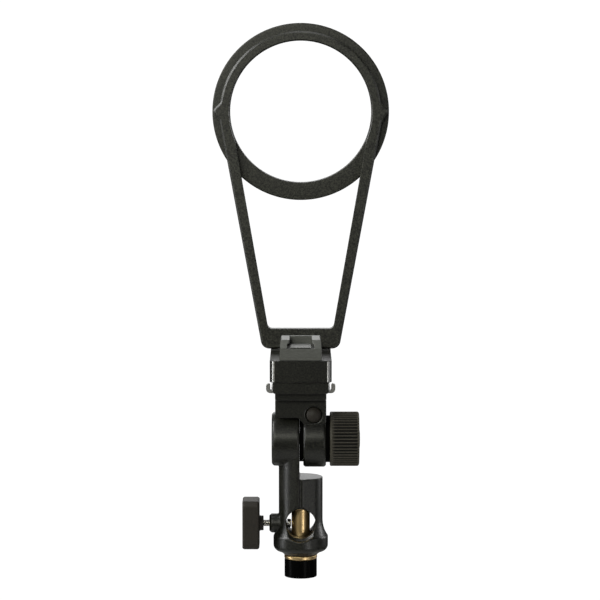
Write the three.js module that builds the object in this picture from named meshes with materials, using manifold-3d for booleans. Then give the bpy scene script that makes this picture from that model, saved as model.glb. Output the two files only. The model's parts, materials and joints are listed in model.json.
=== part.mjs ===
// Flash softbox bracket on a light-stand spigot.
// Millimetres, +Z up. The origin is the centre of the stand tube's cut lower end.
// The flash shoe is on the -Y side, and the softbox ring on the +Y side.
import * as THREE from "three";
import { mergeVertices } from "three/addons/utils/BufferGeometryUtils.js";
import Module from "manifold-3d";

// ---------- driving dimensions ----------

const GAP = 0.3; // clearance between pieces that touch
const RING_FACETS = 60;
const FINE = 32; // facets of a large round piece
const COARSE = 16; // facets of a bush or a bore
const SCREW_FACETS = 12;

// stand tube and 5/8 inch spigot, on the Z axis
const TUBE_RADIUS = 11.45;
const TUBE_BORE = 10.2;
const FLANGE_LOW = 12.9;
const FLANGE_HIGH = 15.7;
const SPIGOT_RADIUS = 7.95;
const WAIST_RADIUS = 6.5;
const SPIGOT_TOP = 59.5;

// receiver
const RECEIVER_LOW = 16;
const COLLAR_RADIUS = 19.3;
const BODY_RADIUS = 15.5;
const SOCKET_RADIUS = SPIGOT_RADIUS + GAP;
const SOCKET_TOP = 61;
const SHOULDER_HEIGHT = 71.2;
const CROSS_HOLE_RADIUS = 10.4;
const CROSS_HOLE_HEIGHT = 39.5;
const ARM_RIGHT = -0.85; // the arm column is the receiver's left half, up to this X

// tilt joint, axis along X
const TILT_HEIGHT = 98.1;
const CHEEK_RADIUS = 19;
const CHEEK_LEFT = -20.4;
const ARM_CHEEK_RADIUS = 19.7;
const ARM_CHEEK_LEFT = 1.8;
const ARM_CHEEK_RIGHT = 17.8;
const BOLT_RADIUS = 4;
const BOLT_BORE = BOLT_RADIUS + GAP;

// lock screw, axis along X
const LOCK_HEIGHT = 37.9;
const LOCK_SCREW_RADIUS = 2.4;
const BUSH_RADIUS = 4.2;
const BOSS_LEFT = -22.2;
const LOCK_KNOB_LEFT = -41.1;
const LOCK_KNOB_RIGHT = -29.2;
const HUB_RIGHT = -26.3;
const LOCK_KNOB_LENGTH = 34.4;
const LOCK_KNOB_DEPTH = 26;

// tilt knob
const KNOB_LEFT = 20.5;
const KNOB_RIGHT = 41.2;
const KNOB_RADIUS = 19.2;
const KNOB_RIBS = 50;
const KNOB_LIP = 0.3;

// tilt arm's block
const BLOCK_HALF_WIDTH = 17.9;
const BLOCK_HALF_DEPTH = 17;
const BLOCK_TOP = 127.8;
const BLOCK_LOW_LEFT = 115.2;
const BLOCK_LOW_RIGHT = 111;

// release button, axis along Y, and its latch pin
const BUTTON_X = 9.1;
const BUTTON_HEIGHT = 117.3;
const BUTTON_RADIUS = 5.3;
const BUTTON_SHAFT = 4.2;
const BUTTON_TRAVEL = 3;
const LATCH_Y = -6;
const LATCH_RADIUS = 1.6;
const LATCH_TOP = 139.6;

// slide rail
const RAIL_LOW = 133.6;
const RAIL_TOP = 141.5;
const RAIL_HALF_WIDTH = 19.4;
const RAIL_HALF_DEPTH = 30;
const NECK_HALF_DEPTH = 24;
const PLATE_BACK = -27.8; // the end plate's inner face
const RAIL_STRIP_END = 27;
const EAR_BACK = -22;
const GROOVE_FLOOR = 136.5;
const SLIDE_TRAVEL = 8;

// head block
const HEAD_LOW = 141.9;
const HEAD_TOP = 158; // the yoke's seat
const SHOE_SEAT = 157.2;
const HEAD_FRONT = -32;
const HEAD_BACK = 41;
const HEAD_HALF_WIDTH = 21.5;

// flash shoe
const SHOE_FRONT = -32.6;
const SHOE_BACK = -1;
const SHOE_FLOOR = 165.6;
const SHOE_TOP = 171.6;
const SHOE_SLOT_HALF = 9.45;
const SHOE_MOUTH_HALF = 7.8;
const SHOE_LEAD_HALF = 10.4; // the mouth's half width at the front, before it narrows to the rails
const SHOE_LEAD_LENGTH = 3.6;

// yoke frame and softbox ring
const YOKE_FRONT = 32.4;
const YOKE_BACK = 40.4;
const YOKE_LOW = HEAD_TOP + GAP;
const BAR_TOP = 172.7;
const RING_HEIGHT = 327.6;
const YOKE_RADIUS = 57.3;
const YOKE_OPENING = 51.1;
const NUB_REACH = 62.1;
const YOKE_SCREW_X = 12;
const YOKE_SCREW_Y = 36.4;
const RING_FRONT = YOKE_BACK + GAP;
const RING_BACK = 50.7;
const RING_RADIUS = 63.1;
const RING_OPENING = 50.5;
const RING_SCREW_X = 58.6;

// ---------- materials ----------

function finish(color, roughness, metalness) {
  return new THREE.MeshStandardMaterial({ color, roughness, metalness });
}

const castBlack = finish(0x2b2c29, 0.6, 0.3);
const frameBlack = finish(0x35362f, 0.55, 0.3);
const satinGrey = finish(0x5f615d, 0.45, 0.7);
const knobPlastic = finish(0x2a2823, 0.6, 0);
const tubeBlack = finish(0x080808, 0.12, 0.2);
const brass = finish(0xbe9650, 0.25, 1);
const steel = finish(0xb4b4b0, 0.3, 1);
const darkSteel = finish(0x1c1c1a, 0.4, 0.8);
const railMetal = finish(0x8c8c88, 0.35, 0.9);
const nylon = finish(0x1f1f1e, 0.7, 0);

// ---------- geometry helpers ----------

const wasm = await Module();
wasm.setup();

// Maps a shape's plane and depth (u, v, w) to the model's axes, keeping right-handedness.
const ALONG_X = new THREE.Matrix4().set(0, 0, 1, 0, 1, 0, 0, 0, 0, 1, 0, 0, 0, 0, 0, 1);
const ALONG_Y = new THREE.Matrix4().set(1, 0, 0, 0, 0, 0, -1, 0, 0, 1, 0, 0, 0, 0, 0, 1);
const ALONG_Z = new THREE.Matrix4();

function toSolid(geometry) {
  const bare = geometry.clone();
  bare.deleteAttribute("normal");
  bare.deleteAttribute("uv");
  const merged = mergeVertices(bare, 1e-4);
  const mesh = new wasm.Mesh({
    numProp: 3,
    vertProperties: new Float32Array(merged.attributes.position.array),
    triVerts: new Uint32Array(merged.index.array),
  });
  return new wasm.Manifold(mesh);
}

function toGeometry(solid) {
  const mesh = solid.getMesh();
  const geometry = new THREE.BufferGeometry();
  geometry.setAttribute("position", new THREE.BufferAttribute(mesh.vertProperties, 3));
  geometry.setIndex(new THREE.BufferAttribute(mesh.triVerts, 1));
  geometry.computeVertexNormals();
  return geometry;
}

function join(...solids) {
  return solids.reduce((sum, solid) => sum.add(solid));
}

function cut(solid, ...tools) {
  return tools.reduce((rest, tool) => rest.subtract(tool), solid);
}

// A solid turned about an axis through the given point. The profile lists [radius, position].
function turned(profile, axis, at = [0, 0, 0], facets = FINE) {
  const points = profile.map(([radius, position]) => new THREE.Vector2(radius, position));
  const geometry = new THREE.LatheGeometry(points, facets);
  const area = points.reduce((sum, p, i) => {
    const q = points[(i + 1) % points.length];
    return sum + p.x * q.y - q.x * p.y;
  }, 0);
  if (area < 0) {
    throw new Error("a turned profile runs anticlockwise, with radius across and position up");
  }
  if (axis === "x") {
    geometry.rotateZ(-Math.PI / 2);
  }
  if (axis === "z") {
    geometry.rotateX(Math.PI / 2);
  }
  geometry.translate(...at);
  return toSolid(geometry);
}

// A plain round bar from low to high along an axis.
function bar(radius, low, high, axis, at = [0, 0, 0], facets = COARSE) {
  return turned([[0, low], [radius, low], [radius, high], [0, high]], axis, at, facets);
}

// A tube from low to high along an axis.
function tube(inner, outer, low, high, axis, at = [0, 0, 0], facets = COARSE) {
  const profile = [[inner, low], [outer, low], [outer, high], [inner, high], [inner, low]];
  return turned(profile, axis, at, facets);
}

// A box between two corners.
function block(low, high) {
  const size = high.map((value, i) => value - low[i]);
  const geometry = new THREE.BoxGeometry(...size);
  geometry.translate(...low.map((value, i) => value + size[i] / 2));
  return toSolid(geometry);
}

// Extrudes a closed outline from start to end. Along X it lies in Y and Z, along Y in X and Z.
function extruded(outline, start, end, along) {
  const shape = new THREE.Shape(outline.map(([u, v]) => new THREE.Vector2(u, v)));
  const geometry = new THREE.ExtrudeGeometry(shape, { depth: end - start, bevelEnabled: false });
  if (along === ALONG_Y) {
    geometry.translate(0, 0, -end);
  } else {
    geometry.translate(0, 0, start);
  }
  geometry.applyMatrix4(along);
  return toSolid(geometry);
}

// Points on an arc, angles in degrees from the first axis towards the second.
function arc(centreU, centreV, radius, from, to, steps) {
  const points = [];
  for (let i = 0; i <= steps; i++) {
    const angle = THREE.MathUtils.degToRad(from + ((to - from) * i) / steps);
    points.push([centreU + radius * Math.cos(angle), centreV + radius * Math.sin(angle)]);
  }
  return points;
}

// A rectangle with round corners, anticlockwise.
function roundedRectangle(low, high, radius, steps = 5) {
  return [
    ...arc(high[0] - radius, low[1] + radius, radius, -90, 0, steps),
    ...arc(high[0] - radius, high[1] - radius, radius, 0, 90, steps),
    ...arc(low[0] + radius, high[1] - radius, radius, 90, 180, steps),
    ...arc(low[0] + radius, low[1] + radius, radius, 180, 270, steps),
  ];
}

// The left half of a symmetric outline, from its right half, joined in order.
function mirrored(rightHalf) {
  const leftHalf = rightHalf.filter(([u]) => u > 1e-6).map(([u, v]) => [-u, v]).reverse();
  return [...rightHalf, ...leftHalf];
}

const model = new THREE.Group();

function addNode(name, solid, material) {
  const mesh = new THREE.Mesh(toGeometry(solid), material.clone());
  mesh.name = name;
  model.add(mesh);
}

// ---------- stand ----------

function standTube() {
  return tube(TUBE_BORE, TUBE_RADIUS, 0, FLANGE_LOW - GAP, "z", [0, 0, 0], FINE);
}

function spigot() {
  const shank = TUBE_BORE - GAP;
  const flange = TUBE_RADIUS + 0.15;
  const waistLow = 26;
  const waistHigh = 48.5;
  const profile = [
    [0, 0],
    [shank, 0],
    [shank, FLANGE_LOW],
    [flange, FLANGE_LOW],
    [flange, FLANGE_HIGH],
    [SPIGOT_RADIUS, FLANGE_HIGH],
    [SPIGOT_RADIUS, waistLow - 1.5],
    [WAIST_RADIUS, waistLow],
    [WAIST_RADIUS, waistHigh],
    [SPIGOT_RADIUS, waistHigh + 1.5],
    [SPIGOT_RADIUS, SPIGOT_TOP - 1.2],
    [SPIGOT_RADIUS - 1.2, SPIGOT_TOP],
    [0, SPIGOT_TOP],
  ];
  return turned(profile, "z");
}

// ---------- receiver ----------

// The collar, its flare into the body and the plain body, up to the cheek's height.
function receiverCore() {
  const profile = [
    [0, RECEIVER_LOW],
    [11.9, RECEIVER_LOW],
    [14.6, 18.3],
    ...arc(14.8, 22.8, 4.5, -78, 0, 6),
    [COLLAR_RADIUS, 29],
    [COLLAR_RADIUS - 0.7, 29.9],
    [17.3, 32.2],
    [16.3, 35],
    [15.7, 38],
    [BODY_RADIUS, 41],
    [BODY_RADIUS, TILT_HEIGHT],
    [0, TILT_HEIGHT],
  ];
  return turned(profile, "z");
}

function leftCheek() {
  const round = 2.5;
  const profile = [
    [0, CHEEK_LEFT],
    ...arc(CHEEK_RADIUS - round, CHEEK_LEFT + round, round, -90, 0, 5),
    [CHEEK_RADIUS, ARM_RIGHT - 0.9],
    [CHEEK_RADIUS - 0.9, ARM_RIGHT],
    [0, ARM_RIGHT],
  ];
  return turned(profile, "x", [0, 0, TILT_HEIGHT]);
}

// The space that a flat facet takes off the body's right front.
function frontFacet() {
  const nearX = 1.1;
  const farX = 10.2;
  const nearY = -Math.sqrt(BODY_RADIUS ** 2 - nearX ** 2);
  const farY = -Math.sqrt(BODY_RADIUS ** 2 - farX ** 2);
  const outline = [[nearX, nearY], [nearX + 4, nearY - 6], [farX + 4, farY - 4], [farX, farY]];
  return extruded(outline, CROSS_HOLE_HEIGHT, SHOULDER_HEIGHT + 1, ALONG_Z);
}

function crossHole() {
  const flare = 1;
  const reach = COLLAR_RADIUS + 1;
  const face = 15.2;
  const profile = [
    [0, -reach],
    [CROSS_HOLE_RADIUS + flare + reach - face, -reach],
    [CROSS_HOLE_RADIUS, -face + flare],
    [CROSS_HOLE_RADIUS, face - flare],
    [CROSS_HOLE_RADIUS + flare + reach - face, reach],
    [0, reach],
  ];
  return turned(profile, "y", [0, 0, CROSS_HOLE_HEIGHT]);
}

function receiverBody() {
  const aside = block([ARM_RIGHT, -25, SHOULDER_HEIGHT], [25, 25, 130]);
  const groove = block([ARM_RIGHT, -20, CROSS_HOLE_HEIGHT], [1.1, -14.7, SHOULDER_HEIGHT + 1]);
  const boss = turned(
    [[0, BOSS_LEFT], [5.4, BOSS_LEFT], [6.8, BOSS_LEFT + 1.6], [6.8, -12], [0, -12]],
    "x",
    [0, 0, LOCK_HEIGHT],
    COARSE,
  );
  const bushHole = bar(BUSH_RADIUS + GAP, BOSS_LEFT - 1, 0, "x", [0, 0, LOCK_HEIGHT]);
  const socket = bar(SOCKET_RADIUS, 0, SOCKET_TOP, "z", [0, 0, 0], FINE);
  const boltHole = bar(BOLT_BORE, -30, 5, "x", [0, 0, TILT_HEIGHT]);
  const headPocket = bar(7.2, -30, -14.2, "x", [0, 0, TILT_HEIGHT]);
  const capRecess = bar(12.3, -30, -18.6, "x", [0, 0, TILT_HEIGHT], FINE);
  const column = cut(receiverCore(), aside, frontFacet(), groove);
  const body = join(column, leftCheek(), boss);
  return cut(body, crossHole(), socket, bushHole, boltHole, headPocket, capRecess);
}

function lockBush() {
  return tube(LOCK_SCREW_RADIUS + GAP, BUSH_RADIUS, BOSS_LEFT + 0.2, -12.5, "x", [0, 0, LOCK_HEIGHT]);
}

function tiltBolt() {
  const profile = [
    [0, -18.2],
    [6.4, -18.2],
    [6.9, -17.7],
    [6.9, -14.5],
    [BOLT_RADIUS, -14.5],
    [BOLT_RADIUS, 34.5],
    [BOLT_RADIUS - 0.8, 35.3],
    [0, 35.3],
  ];
  return turned(profile, "x", [0, 0, TILT_HEIGHT], COARSE);
}

function cheekCap() {
  const profile = [[0, -20], [11.2, -20], [12, -19.4], [12, -18.9], [0, -18.9]];
  return turned(profile, "x", [0, 0, TILT_HEIGHT]);
}

function frictionDisc() {
  return tube(BOLT_BORE, 16, ARM_RIGHT + GAP, ARM_CHEEK_LEFT - GAP, "x", [0, 0, TILT_HEIGHT], FINE);
}

// ---------- lock screw ----------

function lockPad() {
  return turned(
    [[0, -9.5], [3, -9.5], [3, -7.4], [2.4, -6.8], [0, -6.8]],
    "x",
    [0, 0, LOCK_HEIGHT],
    COARSE,
  );
}

function lockScrew() {
  const profile = [
    [0, -36],
    [LOCK_SCREW_RADIUS, -36],
    [LOCK_SCREW_RADIUS, -10.6],
    [LOCK_SCREW_RADIUS - 0.8, -9.8],
    [0, -9.8],
  ];
  return turned(profile, "x", [0, 0, LOCK_HEIGHT], COARSE);
}

function lockKnob() {
  const half = [LOCK_KNOB_LENGTH / 2, LOCK_KNOB_DEPTH / 2];
  const side = roundedRectangle(
    [LOCK_KNOB_LEFT, LOCK_HEIGHT - half[0]],
    [LOCK_KNOB_RIGHT, LOCK_HEIGHT + half[0]],
    1.6,
  );
  const face = roundedRectangle([-half[1], LOCK_HEIGHT - half[0]], [half[1], LOCK_HEIGHT + half[0]], 4);
  const slab = extruded(side, -half[1], half[1], ALONG_Y);
  const plan = extruded(face, LOCK_KNOB_LEFT - 1, LOCK_KNOB_RIGHT + 1, ALONG_X);
  const hub = bar(5.25, LOCK_KNOB_RIGHT - 1, HUB_RIGHT, "x", [0, 0, LOCK_HEIGHT]);
  const screwHole = bar(LOCK_SCREW_RADIUS + GAP, -36.4, 0, "x", [0, 0, LOCK_HEIGHT]);
  return cut(join(slab.intersect(plan), hub), screwHole);
}

// ---------- tilt knob ----------

function thrustWasher() {
  return tube(BOLT_BORE, 16.5, ARM_CHEEK_RIGHT + GAP, KNOB_LEFT - GAP, "x", [0, 0, TILT_HEIGHT], FINE);
}

// The ribbed outline: corners that alternate between a ridge and a valley.
function ribbedOutline() {
  const depth = 0.55;
  const outline = [];
  for (let corner = 0; corner < 2 * KNOB_RIBS; corner++) {
    const angle = (Math.PI * corner) / KNOB_RIBS;
    const radius = KNOB_RADIUS - (corner % 2) * depth;
    outline.push([radius * Math.cos(angle), TILT_HEIGHT + radius * Math.sin(angle)]);
  }
  return outline;
}

function tiltKnob() {
  const blank = turned(
    [
      [0, KNOB_LEFT],
      [16.4, KNOB_LEFT],
      [KNOB_RADIUS, KNOB_LEFT + 1.6],
      [KNOB_RADIUS, KNOB_RIGHT - 1.4],
      [KNOB_RADIUS - 1.4, KNOB_RIGHT],
      [0, KNOB_RIGHT],
    ],
    "x",
    [0, 0, TILT_HEIGHT],
    KNOB_RIBS,
  );
  const lipEnd = KNOB_LEFT + 1.6 + KNOB_LIP;
  const grip = extruded(ribbedOutline(), lipEnd, KNOB_RIGHT + 1, ALONG_X);
  const lip = bar(KNOB_RADIUS + 1, KNOB_LEFT - 1, lipEnd, "x", [0, 0, TILT_HEIGHT]);
  const insertHole = bar(8.3, KNOB_LEFT - 1, 37, "x", [0, 0, TILT_HEIGHT]);
  const capHole = bar(12.3, 39.6, KNOB_RIGHT + 1, "x", [0, 0, TILT_HEIGHT], FINE);
  return cut(blank.intersect(join(grip, lip)), insertHole, capHole);
}

function tiltKnobInsert() {
  return tube(BOLT_BORE, 8, KNOB_LEFT + 0.4, 34, "x", [0, 0, TILT_HEIGHT]);
}

function tiltKnobCap() {
  const profile = [[0, 39.9], [12, 39.9], [12, 40.8], [11.3, 41.2], [0, 41.9]];
  return turned(profile, "x", [0, 0, TILT_HEIGHT]);
}

// ---------- tilt arm ----------

function armBlock() {
  const corner = 4.2;
  const outline = [
    [-BLOCK_HALF_WIDTH, BLOCK_TOP],
    ...arc(-BLOCK_HALF_WIDTH + corner, BLOCK_LOW_LEFT + corner, corner, 180, 270, 5),
    [-1.8, BLOCK_LOW_LEFT],
    [1.9, BLOCK_LOW_RIGHT],
    [BLOCK_HALF_WIDTH - 1, BLOCK_LOW_RIGHT],
    [BLOCK_HALF_WIDTH, BLOCK_LOW_RIGHT + 1],
    [BLOCK_HALF_WIDTH, BLOCK_TOP],
  ];
  return extruded(outline, -BLOCK_HALF_DEPTH, BLOCK_HALF_DEPTH, ALONG_Y);
}

function armCheek() {
  const edge = 1.2;
  const profile = [
    [0, ARM_CHEEK_LEFT],
    [ARM_CHEEK_RADIUS - edge, ARM_CHEEK_LEFT],
    [ARM_CHEEK_RADIUS, ARM_CHEEK_LEFT + edge],
    [ARM_CHEEK_RADIUS, ARM_CHEEK_RIGHT - edge],
    [ARM_CHEEK_RADIUS - edge, ARM_CHEEK_RIGHT],
    [0, ARM_CHEEK_RIGHT],
  ];
  return turned(profile, "x", [0, 0, TILT_HEIGHT]);
}

// The button's head, shaft and spring lie in one stepped bore, open at both ends.
function buttonBore() {
  const profile = [
    [0, -BLOCK_HALF_DEPTH - 1],
    [7.3, -BLOCK_HALF_DEPTH - 1],
    [BUTTON_RADIUS + GAP, -BLOCK_HALF_DEPTH + 0.7],
    [BUTTON_RADIUS + GAP, -9.9],
    [BUTTON_SHAFT + GAP, -9.9],
    [BUTTON_SHAFT + GAP, BLOCK_HALF_DEPTH + 1],
    [0, BLOCK_HALF_DEPTH + 1],
  ];
  return turned(profile, "y", [BUTTON_X, 0, BUTTON_HEIGHT], COARSE);
}

function tiltArm() {
  const saddle = bar(CHEEK_RADIUS + 0.6, -30, ARM_CHEEK_LEFT, "x", [0, 0, TILT_HEIGHT], FINE);
  const boltHole = bar(BOLT_BORE, -5, 30, "x", [0, 0, TILT_HEIGHT]);
  const latchHole = bar(LATCH_RADIUS + GAP, 110.6, BLOCK_TOP + 1, "z", [BUTTON_X, LATCH_Y, 0]);
  const screwHoles = railScrewPlaces().map(([x, y]) => bar(2.3, 122.6, BLOCK_TOP + 1, "z", [x, y, 0]));
  const casting = join(cut(armBlock(), saddle), armCheek());
  return cut(casting, boltHole, buttonBore(), latchHole, ...screwHoles);
}

// ---------- release button and latch ----------

function releaseButton() {
  const face = -BLOCK_HALF_DEPTH + 0.6;
  const domeHeight = 2.6;
  const domeRadius = (BUTTON_RADIUS ** 2 + domeHeight ** 2) / (2 * domeHeight);
  const domeAngle = THREE.MathUtils.radToDeg(Math.asin(BUTTON_RADIUS / domeRadius));
  const dome = arc(0, face - domeHeight + domeRadius, domeRadius, -90, -90 + domeAngle, 6);
  const profile = [
    ...dome,
    [BUTTON_RADIUS, -13.4],
    [BUTTON_SHAFT, -13.4],
    [BUTTON_SHAFT, 2],
    [0, 2],
  ];
  const shaft = turned(profile, "y", [BUTTON_X, 0, BUTTON_HEIGHT], COARSE);
  const halfSlot = LATCH_RADIUS + GAP;
  const window = block(
    [BUTTON_X - halfSlot, LATCH_Y - halfSlot - BUTTON_TRAVEL, BUTTON_HEIGHT - 6],
    [BUTTON_X + halfSlot, LATCH_Y + halfSlot, BUTTON_HEIGHT + 6],
  );
  return cut(shaft, window, camSlot());
}

// The sloping slot that carries the cross pin down as the button goes in.
function camSlot() {
  const radius = 1.15;
  const rise = BUTTON_TRAVEL / 2;
  const upper = [LATCH_Y, BUTTON_HEIGHT + rise];
  const lower = [LATCH_Y - BUTTON_TRAVEL, BUTTON_HEIGHT - rise];
  const outline = [...arc(...upper, radius, -45, 135, 8), ...arc(...lower, radius, 135, 315, 8)];
  return extruded(outline, BUTTON_X - 6, BUTTON_X + 6, ALONG_X);
}

function latchPin() {
  const profile = [
    [0, 114.4],
    [LATCH_RADIUS, 114.4],
    [LATCH_RADIUS, LATCH_TOP - 0.6],
    [LATCH_RADIUS - 0.6, LATCH_TOP],
    [0, LATCH_TOP],
  ];
  const pin = turned(profile, "z", [BUTTON_X, LATCH_Y, 0], COARSE);
  const hole = bar(0.8 + 0.1, -3, 3, "x", [BUTTON_X, LATCH_Y, BUTTON_HEIGHT + BUTTON_TRAVEL / 2], SCREW_FACETS);
  return cut(pin, hole);
}

function latchCrossPin() {
  return bar(0.75, -3.5, 3.5, "x", [BUTTON_X, LATCH_Y, BUTTON_HEIGHT + BUTTON_TRAVEL / 2], SCREW_FACETS);
}

function buttonSpring() {
  return tube(2.9, 3.8, 2.3, 12.5, "y", [BUTTON_X, 0, BUTTON_HEIGHT]);
}

function buttonPlug() {
  return bar(BUTTON_SHAFT, 12.8, BLOCK_HALF_DEPTH - 0.3, "y", [BUTTON_X, 0, BUTTON_HEIGHT]);
}

// ---------- slide rail ----------

function railScrewPlaces() {
  return [[-9, -11], [-9, 11], [10.5, 11], [0, -11]];
}

// A dovetail across X, from its bottom and top half widths and its ends along Y.
function dovetail(low, high, halfLow, halfHigh, front, back) {
  const outline = [[-halfLow, low], [halfLow, low], [halfHigh, high], [-halfHigh, high]];
  return extruded(outline, front, back, ALONG_Y);
}

// The groove is open at the back and shut at the front by the end plate.
function railBase() {
  const half = RAIL_HALF_WIDTH;
  const ledge = 136.1;
  const plateLow = 133.8;
  const plateRound = 2;
  const outline = mirrored([
    [17.4, RAIL_LOW],
    [17.4, ledge],
    [half, ledge],
    [half, RAIL_TOP - 0.6],
    [half - 0.6, RAIL_TOP],
  ]);
  const plateOutline = mirrored([
    ...arc(half - plateRound, plateLow + plateRound, plateRound, -90, 0, 4),
    [half, RAIL_TOP - 0.6],
    [half - 0.6, RAIL_TOP],
  ]);
  const top = extruded(outline, PLATE_BACK, RAIL_HALF_DEPTH, ALONG_Y);
  const plate = extruded(plateOutline, -RAIL_HALF_DEPTH, PLATE_BACK, ALONG_Y);
  const neck = block(
    [-BLOCK_HALF_WIDTH, -NECK_HALF_DEPTH, BLOCK_TOP + GAP],
    [BLOCK_HALF_WIDTH, NECK_HALF_DEPTH, RAIL_LOW],
  );
  const groove = dovetail(GROOVE_FLOOR, RAIL_TOP + 1, 16.3, 12.7, PLATE_BACK, 40);
  const latchHole = bar(LATCH_RADIUS + GAP, 120, 145, "z", [BUTTON_X, LATCH_Y, 0]);
  const padHole = bar(5.3, 133.2, 145, "z", [-4, 0, 0]);
  const screwHoles = railScrewPlaces().map(([x, y]) => railScrewHole(x, y));
  return cut(join(top, plate, neck), groove, latchHole, padHole, ...screwHoles);
}

function railScrewHole(x, y) {
  const profile = [[0, 120], [2.3, 120], [2.3, 133.2], [4.2, 133.2], [4.2, 145], [0, 145]];
  return turned(profile, "z", [x, y, 0], COARSE);
}

function railScrew(x, y) {
  const shank = [[0, 123], [1.6, 123], [2, 123.4], [2, 133.5]];
  const head = [[3.8, 133.5], [3.8, 135.8], [3.4, 136.2], [0, 136.2]];
  return turned([...shank, ...head], "z", [x, y, 0], SCREW_FACETS);
}

function frictionPad() {
  return bar(5, 133.5, 136.6, "z", [-4, 0, 0]);
}

// A strip under the base's ledge on each side, with an upright ear at its front end.
function guideRail(side) {
  const innerX = 21.2;
  const outerX = 24.1;
  const footLow = 134;
  const footHigh = 135.8;
  const lip = (outerX - innerX) / 2;
  const earOutline = [
    [17.8, footLow],
    ...arc(outerX - 3, footLow + 3, 3, -90, 0, 5),
    ...arc(outerX - lip, RAIL_TOP - 0.9 - lip, lip, 0, 180, 8),
    [innerX, footHigh + 0.6],
    [innerX - 0.6, footHigh],
    [17.8, footHigh],
  ];
  const footOutline = [[17.8, footLow], [20.6, footLow], [20.6, footHigh], [17.8, footHigh]];
  const place = (outline) => (side > 0 ? outline : outline.map(([u, v]) => [-u, v]).reverse());
  return join(
    extruded(place(earOutline), -RAIL_STRIP_END, EAR_BACK, ALONG_Y),
    extruded(place(footOutline), EAR_BACK - 1, RAIL_STRIP_END, ALONG_Y),
  );
}

// ---------- head ----------

function headBlock() {
  const plan = [
    [-18.2, HEAD_FRONT],
    [18.2, HEAD_FRONT],
    [19.9, HEAD_FRONT + 1],
    [HEAD_HALF_WIDTH, HEAD_FRONT + 4.2],
    ...arc(HEAD_HALF_WIDTH - 3, HEAD_BACK - 3, 3, 0, 90, 4),
    ...arc(3 - HEAD_HALF_WIDTH, HEAD_BACK - 3, 3, 90, 180, 4),
    [-HEAD_HALF_WIDTH, HEAD_FRONT + 4.2],
    [-19.9, HEAD_FRONT + 1],
  ];
  const body = extruded(plan, HEAD_LOW, HEAD_TOP, ALONG_Z);
  const tongueFront = PLATE_BACK + GAP + SLIDE_TRAVEL;
  const tongue = dovetail(GROOVE_FLOOR + 0.4, HEAD_LOW + 0.1, 15.6, 12.2, tongueFront, 29);
  const shoeStep = block([-25, HEAD_FRONT - 1, SHOE_SEAT], [25, YOKE_FRONT - 0.5, HEAD_TOP + 1]);
  const halfSlot = LATCH_RADIUS + 0.4;
  const latchSlot = block(
    [BUTTON_X - halfSlot, LATCH_Y - SLIDE_TRAVEL - halfSlot, 130],
    [BUTTON_X + halfSlot, LATCH_Y + SLIDE_TRAVEL + halfSlot, 140.4],
  );
  const shoeHoles = shoeScrewPlaces().map((y) => bar(2.3, 149.5, 160, "z", [0, y, 0]));
  const yokeHoles = [-1, 1].map((side) => yokeScrewHole(side));
  return cut(join(body, tongue), shoeStep, latchSlot, ...shoeHoles, ...yokeHoles);
}

function yokeScrewHole(side) {
  const profile = [[0, 140], [3.9, 140], [3.9, 150], [2.3, 150], [2.3, 160], [0, 160]];
  return turned(profile, "z", [side * YOKE_SCREW_X, YOKE_SCREW_Y, 0], COARSE);
}

function yokeScrew(side) {
  const head = [[0, 146.4], [3.5, 146.4], [3.5, 149.7], [2, 149.7]];
  const shank = [[2, 165.6], [1.6, 166], [0, 166]];
  return turned([...head, ...shank], "z", [side * YOKE_SCREW_X, YOKE_SCREW_Y, 0], SCREW_FACETS);
}

// ---------- flash shoe ----------

function shoeScrewPlaces() {
  return [-24, -10];
}

function flashShoe() {
  const outline = mirrored([
    [14.6, SHOE_SEAT + GAP],
    [14.4, SHOE_FLOOR],
    [13.8, SHOE_TOP - 0.6],
    [13.2, SHOE_TOP],
  ]);
  const body = extruded(outline, SHOE_FRONT, SHOE_BACK, ALONG_Y);
  const slot = block([-SHOE_SLOT_HALF, -40, SHOE_FLOOR], [SHOE_SLOT_HALF, SHOE_BACK - 2.5, 168.8]);
  const mouth = block([-SHOE_MOUTH_HALF, -40, SHOE_FLOOR], [SHOE_MOUTH_HALF, SHOE_BACK - 2.5, 180]);
  const rampLow = SHOE_FLOOR + 0.3;
  const ramp = extruded(
    [[-40, rampLow], [SHOE_FRONT + 0.2, rampLow], [SHOE_FRONT + 3, SHOE_TOP + 0.3], [-40, 180]],
    -20,
    20,
    ALONG_X,
  );
  const leadIn = extruded(
    mirrored([[SHOE_LEAD_HALF, SHOE_FRONT - 1], [SHOE_MOUTH_HALF, SHOE_FRONT + SHOE_LEAD_LENGTH]]),
    SHOE_FLOOR,
    180,
    ALONG_Z,
  );
  const holes = shoeScrewPlaces().map((y) => {
    const profile = [[0, 150], [2.3, 150], [2.3, 163.2], [4.2, 165], [4.2, 175], [0, 175]];
    return turned(profile, "z", [0, y, 0], COARSE);
  });
  return cut(body, slot, mouth, ramp, leadIn, ...holes);
}

function shoeScrew(y) {
  const profile = [
    [0, 150],
    [1.6, 150],
    [2, 150.4],
    [2, 163.5],
    [3.8, 165.2],
    [3.8, 165.5],
    [0, 165.5],
  ];
  return turned(profile, "z", [0, y, 0], SCREW_FACETS);
}

// A thin plate that presses the flash's foot up against the rails.
function shoeSpring() {
  const outline = [
    [-31.6, SHOE_FLOOR + GAP],
    [-4.4, SHOE_FLOOR + GAP],
    [-4.4, SHOE_FLOOR + 0.8],
    [-10, SHOE_FLOOR + 1.2],
    [-26, SHOE_FLOOR + 1.2],
    [-31.6, SHOE_FLOOR + 0.8],
  ];
  return extruded(outline, -7.2, 7.2, ALONG_X);
}

// ---------- yoke and ring ----------

// The arm's outer and inner edges are straight lines, X as a function of Z.
function armOuter(z) {
  return 29.4 + 0.1847 * (z - 168.2);
}

function armInner(z) {
  return 24.1 + 0.177 * (z - 176.8);
}

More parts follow.
